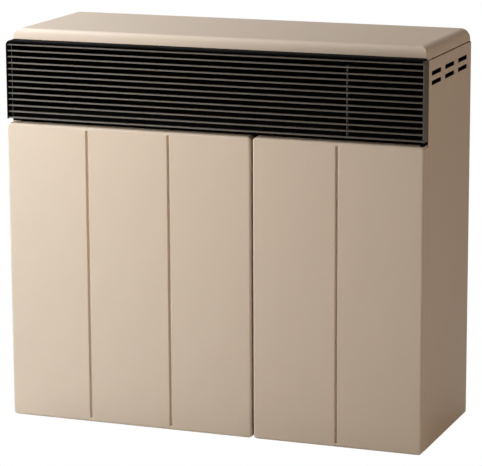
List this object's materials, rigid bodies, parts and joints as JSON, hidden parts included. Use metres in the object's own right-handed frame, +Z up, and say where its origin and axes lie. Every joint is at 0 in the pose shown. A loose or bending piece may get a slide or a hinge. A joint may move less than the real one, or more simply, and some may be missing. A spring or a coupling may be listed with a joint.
{
  "type": "wall mounted gas convector heater",
  "caption": "Wall mounted flued gas convector with louvred grille hood, fluted front panels, hinged control door, ribbed heat exchanger, burner and gas controls.",
  "frame": {"origin": "middle of the height and width of the heater, on the back plate's wall face", "axes": "+X to the right seen from the front, +Y into the wall, -Y to the front, +Z up"},
  "size_m": [0.7, 0.256, 0.637],
  "materials": {
    "casing_paint": "stoved beige paint, fine satin texture",
    "black_enamel": "satin black stoved enamel",
    "grille_enamel": "satin dark brown stoved enamel",
    "zinc_steel": "galvanised sheet",
    "plain_steel": "turned",
    "exchanger_enamel": "matt grey-black vitreous enamel",
    "aluminised_steel": "aluminised sheet and tube",
    "cast_alloy": "die cast, as cast",
    "brass": "turned",
    "copper": "drawn copper tube",
    "black_plastic": "moulded, fine texture",
    "red_plastic": "moulded",
    "ceramic": "glazed insulator",
    "mineral_fibre": "pressed mineral fibre",
    "heat_glass": "polished",
    "ferrite": "sintered magnet in a dark case"
  },
  "bodies": {
    "root": {"back_plate": "black_enamel", "side_panel_left": "casing_paint", "side_panel_right": "casing_paint", "top_cover": "casing_paint", "front_crossbar": "black_enamel", "bottom_rail": "zinc_steel", "grille_hood": "black_enamel", "grille_bar_01": "grille_enamel", "grille_bar_02": "grille_enamel", "grille_bar_03": "grille_enamel", "grille_bar_04": "grille_enamel", "grille_bar_05": "grille_enamel", "grille_bar_06": "grille_enamel", "grille_bar_07": "grille_enamel", "grille_bar_08": "grille_enamel", "grille_bar_09": "grille_enamel", "grille_bar_10": "grille_enamel", "grille_bar_11": "grille_enamel", "grille_bar_12": "grille_enamel", "grille_bar_13": "grille_enamel", "grille_stay": "grille_enamel", "front_panel": "casing_paint", "hinge_bracket_upper": "black_enamel", "hinge_bracket_lower": "zinc_steel", "hinge_pin_upper": "plain_steel", "hinge_pin_lower": "plain_steel", "magnetic_catch": "ferrite", "heat_exchanger": "exchanger_enamel", "flue_pipe": "aluminised_steel", "duct_seal": "mineral_fibre", "air_duct": "zinc_steel", "heat_deflector": "black_enamel", "burner_gasket": "mineral_fibre", "burner_plate": "zinc_steel", "burner_tube": "aluminised_steel", "pilot_burner": "brass", "thermocouple": "copper", "ignition_electrode": "ceramic", "sight_glass": "heat_glass", "sight_frame": "zinc_steel", "control_panel": "black_enamel", "gas_valve": "cast_alloy", "valve_bracket": "zinc_steel", "igniter_body": "black_plastic", "gas_inlet_pipe": "copper", "union_nut": "brass", "burner_feed_pipe": "aluminised_steel", "pilot_pipe": "aluminised_steel", "thermocouple_lead": "copper", "ignition_lead": "red_plastic", "thermostat_bulb": "copper", "bulb_clip": "zinc_steel", "capillary_tube": "copper"},
    "door": {"control_door": "casing_paint", "strike_plate": "zinc_steel"},
    "knob_plunger": {"valve_plunger": "plain_steel"},
    "knob": {"valve_spindle": "plain_steel", "control_knob": "black_plastic"},
    "button": {"igniter_button": "red_plastic"}
  },
  "joints": [
    {"name": "door_hinge", "type": "hinge", "parent": "root", "child": "door", "pos_m": [0.346, -0.2515, 0], "axis": [0, 0, 1], "range_deg": [0, 100]},
    {"name": "knob_push", "type": "slide", "parent": "root", "child": "knob_plunger", "axis": [0, 1, 0], "range_m": [0, 0.004], "stiffness_N_per_m": 400, "springref_m": -0.001},
    {"name": "knob_turn", "type": "hinge", "parent": "knob_plunger", "child": "knob", "pos_m": [0.184, -0.21, -0.2405], "axis": [0, -1, 0], "range_deg": [0, 270]},
    {"name": "igniter_push", "type": "slide", "parent": "root", "child": "button", "axis": [0, 1, 0], "range_m": [0, 0.005], "stiffness_N_per_m": 600, "springref_m": -0.001}
  ]
}
